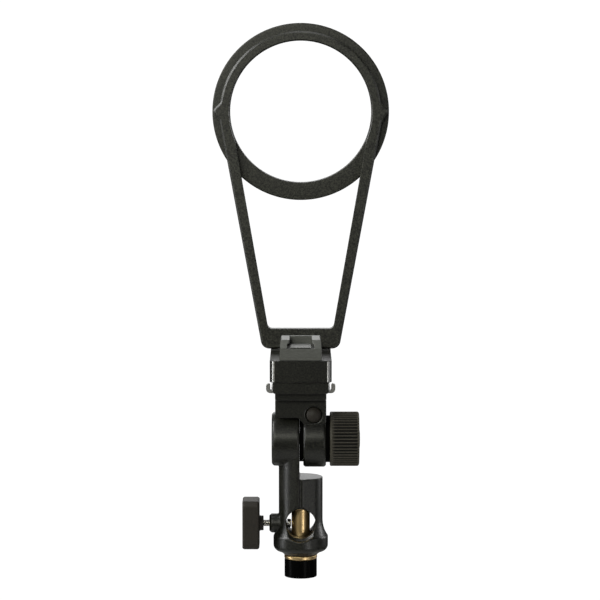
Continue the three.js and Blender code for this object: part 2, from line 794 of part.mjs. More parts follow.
function yokeOutline() {
  const nubLow = RING_HEIGHT - 6.5;
  const nubHigh = 8.8; // above the ring's centre
  const cornerRadius = 6.1;
  const cornerX = armOuter(YOKE_LOW) - cornerRadius * 0.83;
  const startAngle = THREE.MathUtils.radToDeg(Math.asin(nubHigh / YOKE_RADIUS));
  return mirrored([
    ...arc(cornerX, YOKE_LOW + cornerRadius, cornerRadius, -90, -10.5, 5),
    [armOuter(nubLow), nubLow],
    [armOuter(nubLow) + 0.9, nubLow + 0.7],
    [NUB_REACH - 0.6, RING_HEIGHT - 1.1],
    [NUB_REACH, RING_HEIGHT + 0.1],
    [NUB_REACH - 0.2, RING_HEIGHT + 1.4],
    [NUB_REACH - 1.3, RING_HEIGHT + 3.1],
    [NUB_REACH - 3.9, RING_HEIGHT + 5.5],
    [NUB_REACH - 5, RING_HEIGHT + 6.9],
    ...arc(0, RING_HEIGHT, YOKE_RADIUS, startAngle, 90, 20),
  ]);
}

function yokeOpening() {
  const cornerRadius = 3.6;
  const arcEnd = -20.5; // where the arm meets the arc, from the ring's centre
  const cornerX = armInner(BAR_TOP) - cornerRadius * 0.83;
  const endAngle = THREE.MathUtils.radToDeg(Math.asin(arcEnd / YOKE_OPENING));
  return mirrored([
    ...arc(cornerX, BAR_TOP + cornerRadius, cornerRadius, -90, -10, 4),
    ...arc(0, RING_HEIGHT, YOKE_OPENING, endAngle, 90, 28),
  ]);
}

function yokeFrame() {
  const plate = extruded(yokeOutline(), YOKE_FRONT, YOKE_BACK, ALONG_Y);
  const opening = extruded(yokeOpening(), YOKE_FRONT - 1, YOKE_BACK + 1, ALONG_Y);
  const barHoles = [-1, 1].map((side) => bar(2.3, 150, 166.6, "z", [side * YOKE_SCREW_X, YOKE_SCREW_Y, 0]));
  const nubHoles = [-1, 1].map((side) => {
    return bar(1.8, YOKE_FRONT + 2.5, RING_BACK, "y", [side * RING_SCREW_X, 0, RING_HEIGHT]);
  });
  return cut(plate, opening, ...barHoles, ...nubHoles);
}

function softboxRing() {
  const lipInner = 53;
  const lipOuter = 56;
  const lipBack = RING_BACK + 3;
  const profile = [
    [RING_OPENING, RING_FRONT + 0.6],
    [RING_OPENING + 0.6, RING_FRONT],
    [RING_RADIUS - 0.8, RING_FRONT],
    [RING_RADIUS, RING_FRONT + 0.8],
    [RING_RADIUS, RING_BACK - 0.8],
    [RING_RADIUS - 0.8, RING_BACK],
    [lipOuter, RING_BACK],
    [lipOuter, lipBack],
    [lipInner, lipBack],
    [RING_OPENING, RING_BACK],
    [RING_OPENING, RING_FRONT + 0.6],
  ];
  const ring = turned(profile, "y", [0, 0, RING_HEIGHT], RING_FACETS);
  const holes = [-1, 1].map((side) => {
    const hole = [
      [0, YOKE_FRONT],
      [1.8, YOKE_FRONT],
      [1.8, RING_BACK - 3.9],
      [3.2, RING_BACK - 2.5],
      [3.2, RING_BACK + 5],
      [0, RING_BACK + 5],
    ];
    return turned(hole, "y", [side * RING_SCREW_X, 0, RING_HEIGHT], SCREW_FACETS);
  });
  return cut(ring, ...holes);
}

function ringScrew(side) {
  const profile = [
    [0, YOKE_FRONT + 3],
    [1.2, YOKE_FRONT + 3],
    [1.5, YOKE_FRONT + 3.3],
    [1.5, RING_BACK - 3.7],
    [2.9, RING_BACK - 2.2],
    [2.9, RING_BACK - 0.7],
    [0, RING_BACK - 0.7],
  ];
  return turned(profile, "y", [side * RING_SCREW_X, 0, RING_HEIGHT], SCREW_FACETS);
}

// ---------- assembly ----------

addNode("stand_tube", standTube(), tubeBlack);
addNode("spigot", spigot(), brass);

addNode("receiver_body", receiverBody(), castBlack);
addNode("lock_bush", lockBush(), brass);
addNode("tilt_bolt", tiltBolt(), steel);
addNode("cheek_cap", cheekCap(), castBlack);
addNode("friction_disc", frictionDisc(), nylon);

addNode("lock_pad", lockPad(), steel);
addNode("lock_screw", lockScrew(), steel);
addNode("lock_knob", lockKnob(), knobPlastic);

addNode("thrust_washer", thrustWasher(), nylon);
addNode("tilt_knob", tiltKnob(), knobPlastic);
addNode("tilt_knob_insert", tiltKnobInsert(), brass);
addNode("tilt_knob_cap", tiltKnobCap(), knobPlastic);

addNode("tilt_arm", tiltArm(), castBlack);
addNode("release_button", releaseButton(), knobPlastic);
addNode("latch_pin", latchPin(), steel);
addNode("latch_cross_pin", latchCrossPin(), steel);
addNode("button_spring", buttonSpring(), steel);
addNode("button_plug", buttonPlug(), darkSteel);

addNode("rail_base", railBase(), castBlack);
railScrewPlaces().forEach(([x, y], i) => addNode(`rail_screw_${i + 1}`, railScrew(x, y), darkSteel));
addNode("friction_pad", frictionPad(), nylon);
addNode("guide_rail_left", guideRail(-1), railMetal);
addNode("guide_rail_right", guideRail(1), railMetal);

addNode("head_block", headBlock(), castBlack);
addNode("flash_shoe", flashShoe(), satinGrey);
addNode("shoe_spring", shoeSpring(), satinGrey);
shoeScrewPlaces().forEach((y, i) => addNode(`shoe_screw_${i + 1}`, shoeScrew(y), darkSteel));
addNode("yoke_frame", yokeFrame(), frameBlack);
addNode("yoke_screw_left", yokeScrew(-1), darkSteel);
addNode("yoke_screw_right", yokeScrew(1), darkSteel);
addNode("softbox_ring", softboxRing(), frameBlack);
addNode("ring_screw_left", ringScrew(-1), darkSteel);
addNode("ring_screw_right", ringScrew(1), darkSteel);

export default model;
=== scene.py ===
"""Looks for the flash softbox bracket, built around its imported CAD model.

Metres and +Z up inside Blender. The shape helpers take millimetres, as the CAD does.
"""

import json
import math

import bmesh
import bpy
from mathutils import Matrix, Vector

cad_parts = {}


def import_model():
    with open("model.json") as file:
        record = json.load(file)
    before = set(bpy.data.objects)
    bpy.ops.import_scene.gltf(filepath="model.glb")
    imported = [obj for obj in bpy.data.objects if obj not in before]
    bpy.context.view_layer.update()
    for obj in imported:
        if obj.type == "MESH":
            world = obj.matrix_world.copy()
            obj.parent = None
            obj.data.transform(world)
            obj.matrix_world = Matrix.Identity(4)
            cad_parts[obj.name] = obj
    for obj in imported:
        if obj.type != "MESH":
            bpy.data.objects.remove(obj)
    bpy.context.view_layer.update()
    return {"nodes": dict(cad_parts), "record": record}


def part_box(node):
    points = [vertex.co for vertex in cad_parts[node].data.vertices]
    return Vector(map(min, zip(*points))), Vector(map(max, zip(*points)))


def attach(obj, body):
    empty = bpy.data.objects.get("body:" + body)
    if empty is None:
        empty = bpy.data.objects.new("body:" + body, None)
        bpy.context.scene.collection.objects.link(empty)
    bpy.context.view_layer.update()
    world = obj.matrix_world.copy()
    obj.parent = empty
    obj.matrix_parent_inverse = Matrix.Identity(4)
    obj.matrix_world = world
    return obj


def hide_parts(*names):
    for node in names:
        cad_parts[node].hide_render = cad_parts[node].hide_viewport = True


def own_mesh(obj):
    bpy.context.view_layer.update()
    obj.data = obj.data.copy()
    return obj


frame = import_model()

MM = 0.001

# ---------- places taken from the frame, in millimetres ----------


def box(node):
    """The lowest and highest corner of a CAD node, in millimetres."""
    low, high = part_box(node)
    return low / MM, high / MM


def centre(node):
    low, high = box(node)
    return (low + high) / 2


TILT_HEIGHT = centre("tilt_knob").z
LOCK_HEIGHT = centre("lock_screw").z
RING_HEIGHT = centre("softbox_ring").z
BUTTON = centre("button_plug")
RECEIVER_LOW = box("receiver_body")[0].z
BLOCK_TOP = box("tilt_arm")[1].z
RAIL_LOW, RAIL_TOP = (corner.z for corner in box("rail_base"))
HEAD_TOP = box("head_block")[1].z
HEAD_FRONT, HEAD_BACK = (corner.y for corner in box("head_block"))
YOKE_FRONT, YOKE_BACK = (corner.y for corner in box("yoke_frame"))
YOKE_LOW = box("yoke_frame")[0].z
YOKE_RADIUS = box("yoke_frame")[1].z - RING_HEIGHT
RING_RADIUS = box("softbox_ring")[1].x
RING_FRONT = box("softbox_ring")[0].y
LIP_BACK = box("softbox_ring")[1].y
SHOE_FRONT, SHOE_BACK = (corner.y for corner in box("flash_shoe"))
SHOE_TOP = box("flash_shoe")[1].z
YOKE_SCREW_X, YOKE_SCREW_Y = centre("yoke_screw_right").xy
RING_SCREW_X = centre("ring_screw_right").x
NUB_REACH = box("yoke_frame")[1].x

# ---------- sizes that several pieces share, in millimetres ----------

BODY_RADIUS = 15.5
COLLAR_RADIUS = 19.3
CROSS_HEIGHT = 39.5
CROSS_RADIUS = 10.4
SHOULDER_HEIGHT = 71.2
ARM_RIGHT = -0.85
KNOB_RIBS = 50
BOLT_HOLE = 4.3
SCREW_HOLE = 2.3
LATCH_HOLE = 1.9
LATCH_Y = -6
RAIL_SCREWS = ((-9, -11), (-9, 11), (10.5, 11), (0, -11))
RAIL_LOW_FACE = 133.6
GROOVE_FLOOR = 136.5
PLATE_BACK = -27.8
SHOE_SEAT = 157.2
SHOE_SCREWS = (-24, -10)
DENSE_MESH = 20000  # faces, above which flat areas need no help to look flat

# ---------- node materials ----------


class Shader:
    """A principled material with short calls for the textures that this part needs."""

    def __init__(self, name, roughness, metallic=0.0, specular=0.5):
        self.material = bpy.data.materials.new(name)
        self.material.use_nodes = True
        tree = self.material.node_tree
        self.nodes, self.links = tree.nodes, tree.links
        self.surface = self.nodes["Principled BSDF"]
        self.surface.inputs["Roughness"].default_value = roughness
        self.surface.inputs["Metallic"].default_value = metallic
        self.surface.inputs["Specular IOR Level"].default_value = specular
        self.place = self.nodes.new("ShaderNodeTexCoord").outputs["Object"]

    def noise(self, size, detail, stretch=(1, 1, 1)):
        """Noise with features of about size millimetres, drawn out along the axes by stretch."""
        mapping = self.nodes.new("ShaderNodeMapping")
        mapping.inputs["Scale"].default_value = [1 / factor for factor in stretch]
        self.links.new(self.place, mapping.inputs["Vector"])
        texture = self.nodes.new("ShaderNodeTexNoise")
        texture.inputs["Scale"].default_value = 1 / (size * MM)
        texture.inputs["Detail"].default_value = detail
        self.links.new(mapping.outputs["Vector"], texture.inputs["Vector"])
        return texture.outputs["Fac"]

    def ramp(self, value, stops):
        """A colour ramp from (position, linear colour) stops."""
        node = self.nodes.new("ShaderNodeValToRGB")
        elements = node.color_ramp.elements
        while len(elements) < len(stops):
            elements.new(0.5)
        for element, (position, colour) in zip(elements, stops):
            element.position = position
            element.color = (*colour, 1)
        self.links.new(value, node.inputs["Fac"])
        return node.outputs["Color"]

    def mix(self, factor, first, second):
        """A blend of two colours, each a linear colour or a socket."""
        node = self.nodes.new("ShaderNodeMix")
        node.data_type = "RGBA"
        colours = [item for item in node.inputs if item.type == "RGBA"]
        for target, value in zip((node.inputs["Factor"], *colours), (factor, first, second)):
            if isinstance(value, tuple):
                target.default_value = (*value, 1)
            else:
                self.links.new(value, target)
        return [item for item in node.outputs if item.type == "RGBA"][0]

    def span(self, value, low, high):
        """Maps a 0 to 1 value on to low to high."""
        node = self.nodes.new("ShaderNodeMapRange")
        node.inputs["To Min"].default_value = low
        node.inputs["To Max"].default_value = high
        self.links.new(value, node.inputs["Value"])
        return node.outputs["Result"]

    def attribute(self, name):
        """A number kept on each vertex of the mesh."""
        node = self.nodes.new("ShaderNodeAttribute")
        node.attribute_name = name
        return node.outputs["Fac"]

    def colour(self, value):
        self.links.new(value, self.surface.inputs["Base Color"])

    def roughness(self, value):
        self.links.new(value, self.surface.inputs["Roughness"])

    def bump(self, height, depth):
        """Relief from a 0 to 1 height, with a depth in millimetres."""
        node = self.nodes.new("ShaderNodeBump")
        node.inputs["Strength"].default_value = 1
        node.inputs["Distance"].default_value = depth * MM
        self.links.new(height, node.inputs["Height"])
        self.links.new(node.outputs["Normal"], self.surface.inputs["Normal"])


BLACK, WHITE = (0, 0, 0), (1, 1, 1)
SOOT = (0.001, 0.001, 0.001)


def painted_casting(name, light, roughness):
    """Powder-coated die casting: fine grain, a little cloudiness and specks of lighter coat."""
    shader = Shader(name, roughness)
    fine = shader.noise(1, 5)
    specks = shader.noise(1.7, 2)
    cloud = shader.noise(9, 2)
    speckle = shader.ramp(fine, [(0.36, SOOT), (0.64, light)])
    toned = shader.mix(shader.span(cloud, 0, 0.5), speckle, SOOT)
    lifted = tuple(value * 1.3 for value in light)
    where = shader.ramp(specks, [(0.6, BLACK), (0.78, WHITE)])
    shader.colour(shader.mix(where, toned, lifted))
    shader.roughness(shader.span(fine, roughness - 0.06, roughness + 0.1))
    shader.bump(fine, 0.06)
    return shader.material


def moulded_plastic():
    """Brownish black nylon with a fine spark-eroded grain."""
    shader = Shader("moulded_plastic", 0.58, specular=0.35)
    fine = shader.noise(0.4, 3)
    cloud = shader.noise(7, 2)
    base = shader.ramp(fine, [(0.3, (0.010, 0.009, 0.007)), (0.7, (0.034, 0.029, 0.023))])
    shader.colour(shader.mix(shader.span(cloud, 0, 0.4), base, (0.030, 0.024, 0.018)))
    shader.roughness(shader.span(fine, 0.5, 0.66))
    shader.bump(fine, 0.025)
    return shader.material


def gloss_paint():
    """Deep black enamel on the stand tube, with a faint orange peel."""
    shader = Shader("gloss_paint", 0.28, specular=0.03)
    peel = shader.noise(2.4, 2)
    dust = shader.noise(0.5, 4)
    shader.colour(shader.ramp(dust, [(0.45, SOOT), (0.9, (0.008, 0.008, 0.008))]))
    shader.roughness(shader.span(dust, 0.24, 0.36))
    shader.bump(peel, 0.006)
    return shader.material


def turned_metal(name, base, tint, roughness):
    """Bare turned metal, with tool rings across the Z axis and slight tarnish."""
    shader = Shader(name, roughness, metallic=1.0)
    rings = shader.noise(0.35, 2, stretch=(40, 40, 1))
    tarnish = shader.noise(9, 2)
    shader.colour(shader.mix(shader.span(tarnish, 0, 0.6), base, tint))
    shader.roughness(shader.span(tarnish, roughness - 0.04, roughness + 0.06))
    shader.bump(rings, 0.0003)
    return shader.material


def brushed_metal(name, dark, light, roughness, stretch, metallic=0.9):
    """Satin anodised or plated metal with brush lines along one axis."""
    shader = Shader(name, roughness, metallic=metallic)
    lines = shader.noise(0.3, 3, stretch=stretch)
    cloud = shader.noise(8, 2)
    base = shader.ramp(lines, [(0.3, dark), (0.7, light)])
    shader.colour(shader.mix(shader.span(cloud, 0, 0.3), base, dark))
    shader.roughness(shader.span(lines, roughness - 0.07, roughness + 0.1))
    shader.bump(lines, 0.012)
    return shader.material


def soft_nylon():
    """Matt black washer nylon, slightly mottled."""
    shader = Shader("soft_nylon", 0.8, specular=0.03)
    fine = shader.noise(0.6, 3)
    shader.colour(shader.ramp(fine, [(0.3, SOOT), (0.7, (0.004, 0.004, 0.004))]))
    shader.roughness(shader.span(fine, 0.7, 0.9))
    shader.bump(fine, 0.02)
    return shader.material


def ribbed_plastic():
    """The knob's nylon, with painted shade and a duller finish at the bottom of the grip's grooves.
    """
    shader = Shader("ribbed_plastic", 0.58, specular=0.35)
    fine = shader.noise(0.4, 3)
    base = shader.ramp(fine, [(0.3, (0.040, 0.037, 0.029)), (0.7, (0.095, 0.086, 0.066))])
    groove = shader.attribute("groove")
    # Painted shade: the deeper a point lies in a groove, the nearer its colour comes to black.
    shader.colour(shader.mix(groove, base, (0.002, 0.002, 0.0015)))
    shader.roughness(shader.span(groove, 0.55, 0.85))
    shader.bump(fine, 0.025)
    return shader.material


PLAIN, ALONG_X, ALONG_Y = (1, 1, 1), (8, 1, 1), (1, 12, 1)
SATIN = ((0.12, 0.125, 0.115), (0.17, 0.175, 0.165))
BLUED = ((0.05, 0.048, 0.045), (0.10, 0.097, 0.09))
BARE = ((0.42, 0.42, 0.41), (0.62, 0.62, 0.60))

MATERIALS = {
    "cast_black": painted_casting("powder_coat", (0.024, 0.025, 0.018), 0.34),
    "frame_black": painted_casting("frame_coat", (0.050, 0.052, 0.038), 0.39),
    "satin_grey": brushed_metal("satin_grey", *SATIN, 0.45, ALONG_X, 0.6),
    "knob_plastic": moulded_plastic(),
    "tube_black": gloss_paint(),
    "brass": turned_metal("turned_brass", (0.86, 0.64, 0.34), (0.70, 0.47, 0.20), 0.36),
    "steel": turned_metal("bright_steel", (0.70, 0.69, 0.66), (0.50, 0.49, 0.46), 0.24),
    "dark_steel": brushed_metal("blued_steel", *BLUED, 0.36, PLAIN),
    "rail_metal": brushed_metal("rail_metal", *BARE, 0.32, ALONG_Y),
    "nylon": soft_nylon(),
}

# ---------- shape helpers ----------


def link(name, mesh):
    piece = bpy.data.objects.new(name, mesh)
    bpy.context.scene.collection.objects.link(piece)
    return piece


def solid(name, points, faces):
    """A closed mesh from points in millimetres, with its faces turned outwards."""
    mesh = bpy.data.meshes.new(name)
    mesh.from_pydata([Vector(point) * MM for point in points], [], faces)
    work = bmesh.new()
    work.from_mesh(mesh)
    bmesh.ops.remove_doubles(work, verts=work.verts, dist=1e-7)
    bmesh.ops.recalc_face_normals(work, faces=work.faces)
    work.to_mesh(mesh)
    work.free()
    return link(name, mesh)


AXES = {
    "x": Matrix(((0, 0, 1), (1, 0, 0), (0, 1, 0))),
    "y": Matrix(((0, 1, 0), (0, 0, 1), (1, 0, 0))),
    "z": Matrix.Identity(3),
}


def lathe(name, profile, axis="z", at=(0, 0, 0), segments=96, radius_at=None):
    """Turns (radius, position) pairs about an axis.

    A profile that starts and ends at one place is a ring, and radius_at(radius, position, angle)
    can vary the radius round the axis.
    """
    ring = profile[0] == profile[-1]
    rows = profile[:-1] if ring else profile
    shape = radius_at or (lambda radius, position, angle: radius)
    points, starts = [], []
    for radius, position in rows:
        starts.append(len(points))
        count = 1 if radius == 0 else segments
        for step in range(count):
            angle = math.tau * step / segments
            wide = shape(radius, position, angle) if radius else 0
            points.append((wide * math.cos(angle), wide * math.sin(angle), position))
    faces = []
    pairs = list(zip(range(len(rows)), range(1, len(rows))))
    if ring:
        pairs.append((len(rows) - 1, 0))
    for low, high in pairs:
        first, second = starts[low], starts[high]
        for step in range(segments):
            follow = (step + 1) % segments
            if rows[low][0] == 0 and rows[high][0] == 0:
                continue
            if rows[low][0] == 0:
                faces.append((first, second + step, second + follow))
            elif rows[high][0] == 0:
                faces.append((first + step, first + follow, second))
            else:
                faces.append((first + step, first + follow, second + follow, second + step))
    turn = AXES[axis]
    return solid(name, [turn @ Vector(point) + Vector(at) for point in points], faces)


def rod(name, radius, low, high, axis="z", at=(0, 0, 0), segments=64):
    return lathe(name, [(0, low), (radius, low), (radius, high), (0, high)], axis, at, segments)


def pipe(name, inner, outer, low, high, axis="z", at=(0, 0, 0), segments=96):
    profile = [(inner, low), (outer, low), (outer, high), (inner, high), (inner, low)]
    return lathe(name, profile, axis, at, segments)


def prism(name, outline, low, high, axis):
    """Extrudes an outline along X, Y or Z. The outline lies in (Y, Z), in (X, Z) or in (X, Y)."""
    place = "xyz".index(axis)
    count = len(outline)
    points = [(*point[:place], end, *point[place:]) for end in (low, high) for point in outline]
    sides = [(i, (i + 1) % count, count + (i + 1) % count, count + i) for i in range(count)]
    return solid(name, points, [tuple(range(count)), tuple(range(count, 2 * count)), *sides])


def inset(outline, depth):
    """The outline moved inwards by depth, corner by corner."""
    pairs = zip([outline[-1], *outline[:-1]], outline)
    inward = math.copysign(1, sum(u * next_v - next_u * v for (u, v), (next_u, next_v) in pairs))
    moved = []
    for i, (u, v) in enumerate(outline):
        before = Vector((u, v)) - Vector(outline[i - 1])
        after = Vector(outline[(i + 1) % len(outline)]) - Vector((u, v))
        if min(before.length, after.length) < 1e-6:
            before = after = before if before.length > after.length else after
        sides = [Vector((-edge.y, edge.x)).normalized() * inward for edge in (before, after)]
        middle = (sides[0] + sides[1]).normalized()
        reach = depth / max(0.6, middle.dot(sides[0]))
        moved.append((u + middle.x * reach, v + middle.y * reach))
    return moved


def chamfered_prism(name, outline, low, high, chamfer):
    """A prism along Y whose edges at the low end are chamfered."""
    layers = [(inset(outline, chamfer), low), (outline, low + chamfer), (outline, high)]
    points = [(u, y, v) for layer, y in layers for u, v in layer]
    count = len(outline)
    faces = [list(range(count))[::-1], [2 * count + i for i in range(count)]]
    for row in (0, count):
        for i in range(count):
            j = (i + 1) % count
            faces.append([row + i, row + j, row + count + j, row + count + i])
    return solid(name, points, faces)


def cuboid(name, low, high):
    outline = [(low[0], low[1]), (high[0], low[1]), (high[0], high[1]), (low[0], high[1])]
    return prism(name, outline, low[2], high[2], "z")


def arc(centre_u, centre_v, radius, start, end, steps):
    """Points on an arc, in degrees."""
    angles = [math.radians(start + (end - start) * i / steps) for i in range(steps + 1)]
    return [(centre_u + radius * math.cos(a), centre_v + radius * math.sin(a)) for a in angles]


def rounded_rectangle(low, high, radius):
    left, right = low[0] + radius, high[0] - radius
    bottom, top = low[1] + radius, high[1] - radius
    corners = ((right, bottom, -90), (right, top, 0), (left, top, 90), (left, bottom, 180))
    return [point for u, v, start in corners for point in arc(u, v, radius, start, start + 90, 8)]


def mirrored(right_half):
    """A symmetric outline from its right half."""
    return right_half + [(-u, v) for u, v in reversed(right_half) if u > 1e-6]


def settle(piece):
    """Applies the modifiers."""
    depsgraph = bpy.context.evaluated_depsgraph_get()
    mesh = bpy.data.meshes.new_from_object(piece.evaluated_get(depsgraph))
    old = piece.data
    piece.modifiers.clear()
    piece.data = mesh
    bpy.data.meshes.remove(old)
    return piece


def combine(piece, operation, tools):
    for tool in tools:
        step = piece.modifiers.new(operation, "BOOLEAN")
        step.operation = operation
        step.object = tool
        step.solver = "MANIFOLD"
        settle(piece)
        bpy.data.objects.remove(tool)
    return piece


def cut(piece, *tools):
    return combine(piece, "DIFFERENCE", tools)


def join(piece, *tools):
    return combine(piece, "UNION", tools)


def meet(piece, *tools):
    return combine(piece, "INTERSECT", tools)


def bevel(piece, width, steps=2, angle=28):
    """Rounds the sharp edges by a width in millimetres."""
    modifier = piece.modifiers.new("bevel", "BEVEL")
    modifier.width = width * MM
    modifier.segments = steps
    modifier.limit_method = "ANGLE"
    modifier.angle_limit = math.radians(angle)
    modifier.use_clamp_overlap = False
    modifier.miter_outer = "MITER_ARC"
    return settle(piece)


def soften(piece, voxel, share):
    """Melts a cut block into one casting with soft edges, then keeps a share of its faces."""
    remesh = piece.modifiers.new("melt", "REMESH")
    remesh.mode = "VOXEL"
    remesh.voxel_size = voxel * MM
    smooth = piece.modifiers.new("smooth", "SMOOTH")
    smooth.factor = 0.5
    smooth.iterations = 3
    thin = piece.modifiers.new("thin", "DECIMATE")
    thin.ratio = share
    return settle(piece)


def dress(piece, body, slot, *nodes, crease=32, finish=None):
    """Smooth shading, a material, the body that a piece rides on and the CAD nodes it replaces."""
    mesh = piece.data
    mesh.polygons.foreach_set("use_smooth", [True] * len(mesh.polygons))
    mesh.set_sharp_from_angle(angle=math.radians(crease))
    if len(mesh.polygons) < DENSE_MESH:
        weights = piece.modifiers.new("weights", "WEIGHTED_NORMAL")
        weights.keep_sharp = True
        weights.weight = 100
        settle(piece)
        mesh = piece.data
    mesh.materials.clear()
    mesh.materials.append(finish or MATERIALS[slot])
    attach(piece, body)
    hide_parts(*nodes)


def thread(name, radius, depth, pitch, low, high, axis, at):
    """A round bar with a helical ridge."""
    rows_per_turn = 6
    count = round((high - low) / pitch * rows_per_turn)
    step = (high - low) / count
    profile = [(0, low), *[(radius, low + step * i) for i in range(count + 1)], (0, high)]

    def ridge(wide, position, angle):
        phase = (position - low) / pitch - angle / math.tau
        height = abs((phase % 1) * 2 - 1)
        ends = min(1, (position - low) / pitch, (high - position) / pitch)
        return wide - depth * (1 - height * max(0, ends))

    return lathe(name, profile, axis, at, 40, ridge)


def hexagon(u, v, radius):
    return arc(u, v, radius, 0, 300, 5)


# ---------- stand ----------


def stand_tube():
    low, high = box("stand_tube")
    piece = bevel(pipe("tube", 10.2, high.x, low.z, high.z, segments=160), 0.35, 3)
    dress(piece, "stand", "tube_black", "stand_tube")


def spigot():
    flange_low, flange_high = 12.9, 15.7
    shank, radius, waist = 9.9, 7.95, 6.5
    waist_low, waist_high, top = 26, 48.5, box("spigot")[1].z
    flange = box("spigot")[1].x
    profile = [
        (0, 0),
        (shank, 0),
        (shank, flange_low),
        (flange - 0.5, flange_low),
        (flange, flange_low + 0.5),
        (flange, flange_high - 0.5),
        (flange - 0.5, flange_high),
        (radius, flange_high),
        (radius, waist_low - 1.9),
        *arc(radius - 0.6, waist_low - 1.8, 0.6, 0, 50, 4),
        *arc(waist + 0.9, waist_low + 0.4, 0.9, 230, 180, 4),
        *arc(waist + 0.9, waist_high - 0.4, 0.9, 180, 130, 4),
        *arc(radius - 0.6, waist_high + 1.8, 0.6, -50, 0, 4),
        (radius, top - 1.2),
        (radius - 1.2, top),
        (3.4, top),
        (2.9, top - 0.5),
        (2.9, top - 8),
        (0, top - 9.5),
    ]
    piece = bevel(lathe("spigot_turning", profile, segments=128), 0.15, 2, 35)
    dress(piece, "stand", "brass", "spigot")


# ---------- receiver ----------


def receiver_core():
    """The collar, the sweep above it and the round body up to the tilt axis."""
    foot, collar_top, sweep_top, sweep = 11.9, 29, 41, 21.07
    profile = [
        (0, RECEIVER_LOW),
        (foot, RECEIVER_LOW),
        (14.6, 18.3),
        *arc(14.8, 22.8, 4.5, -78, 0, 12),
        (COLLAR_RADIUS, collar_top),
        (18.8, collar_top + 0.9),
        *arc(BODY_RADIUS + sweep, sweep_top, sweep, 211.5, 180, 8),
        (BODY_RADIUS, TILT_HEIGHT),
        (0, TILT_HEIGHT),
    ]
    return lathe("receiver_casting", profile, segments=160)


def receiver_cheek():
    """The round left cheek of the tilt joint."""
    left, radius, rounding = -20.4, 19, 2.5
    profile = [
        (0, left),
        *arc(radius - rounding, left + rounding, rounding, -90, 0, 8),
        (radius, ARM_RIGHT - 0.9),
        (radius - 0.9, ARM_RIGHT),
        (0, ARM_RIGHT),
    ]
    return lathe("cheek", profile, "x", (0, 0, TILT_HEIGHT), 128)


def receiver_body():
    boss_left = box("receiver_body")[0].x
    near, far = 1.1, 10.2
    near_y, far_y = (-math.sqrt(BODY_RADIUS**2 - x**2) for x in (near, far))
    facet = [(near, near_y), (near + 4, near_y - 6), (far + 4, far_y - 4), (far, far_y)]
    boss = [(0, boss_left), (5.4, boss_left), (6.8, boss_left + 1.6), (6.8, -12), (0, -12)]
    flare, reach, face = 1.9, COLLAR_RADIUS + 1, 15.4
    hole = [
        (0, -reach),
        (CROSS_RADIUS + flare, -reach),
        (CROSS_RADIUS + flare, -face),
        (CROSS_RADIUS, flare - face),
        (CROSS_RADIUS, face - flare),
        (CROSS_RADIUS + flare, face),
        (CROSS_RADIUS + flare, reach),
        (0, reach),
    ]
    tilt = (0, 0, TILT_HEIGHT)
    lock = (0, 0, LOCK_HEIGHT)
    piece = cut(
        receiver_core(),
        cuboid("aside", (ARM_RIGHT, -25, SHOULDER_HEIGHT), (25, 25, 130)),
        prism("facet", facet, CROSS_HEIGHT, SHOULDER_HEIGHT + 1, "z"),
        cuboid("groove", (ARM_RIGHT, -20, CROSS_HEIGHT), (near, -14.3, SHOULDER_HEIGHT + 1)),
    )
    join(piece, receiver_cheek(), lathe("boss", boss, "x", lock, 64))
    cut(
        piece,
        lathe("cross", hole, "y", (0, 0, CROSS_HEIGHT), 96),
        rod("socket", 8.25, 0, 61, "z"),
        rod("bush_hole", 4.5, boss_left - 1, 0, "x", lock),
        rod("bolt_hole", BOLT_HOLE, -30, 5, "x", tilt),
        rod("head_pocket", 7.2, -30, -14.2, "x", tilt),
        rod("cap_recess", 12.3, -30, -18.6, "x", tilt),
    )
    soften(piece, 0.38, 0.45)
    dress(piece, "receiver", "cast_black", "receiver_body", crease=80)


def cheek_cap():
    profile = [(0, -20), (3, -20), (3.3, -19.8), (10.4, -19.8), (10.7, -20), (11.2, -20)]
    profile += [(12, -19.4), (12, -18.9), (0, -18.9)]
    piece = bevel(lathe("cap_disc", profile, "x", (0, 0, TILT_HEIGHT), 96), 0.12)
    dress(piece, "receiver", "cast_black", "cheek_cap")


def washers():
    """The friction disc and the thrust washer, swelled into the clearance that the CAD leaves."""
    at = (0, 0, TILT_HEIGHT)
    swell = 0.27
    sizes = {"friction_disc": (16, "receiver"), "thrust_washer": (16.5, "thrust_washer")}
    for node, (radius, body) in sizes.items():
        low, high = box(node)
        ring = pipe(f"{node}_ring", BOLT_HOLE, radius, low.x - swell, high.x + swell, "x", at, 128)
        dress(bevel(ring, 0.12, 2), body, "nylon", node)


# ---------- lock screw ----------


def lock_screw():
    low, high = box("lock_screw")
    piece = thread("lock_thread", 2.4, 0.42, 0.8, low.x, high.x, "x", (0, 0, LOCK_HEIGHT))
    dress(piece, "lock_knob", "steel", "lock_screw")


def lock_pad():
    low, high = box("lock_pad")
    radius, chamfer = high.y, 0.6
    tip = [(radius, high.x - chamfer), (radius - chamfer, high.x), (0, high.x)]
    profile = [(0, low.x), (radius, low.x), *tip]
    piece = bevel(lathe("pad_tip", profile, "x", (0, 0, LOCK_HEIGHT), 64), 0.2, 3)
    dress(piece, "lock_pad", "steel", "lock_pad")


def lock_bush():
    low, high = box("lock_bush")
    piece = pipe("bush_sleeve", 2.7, high.y, low.x, high.x, "x", (0, 0, LOCK_HEIGHT), 64)
    dress(bevel(piece, 0.3), "receiver", "brass", "lock_bush")


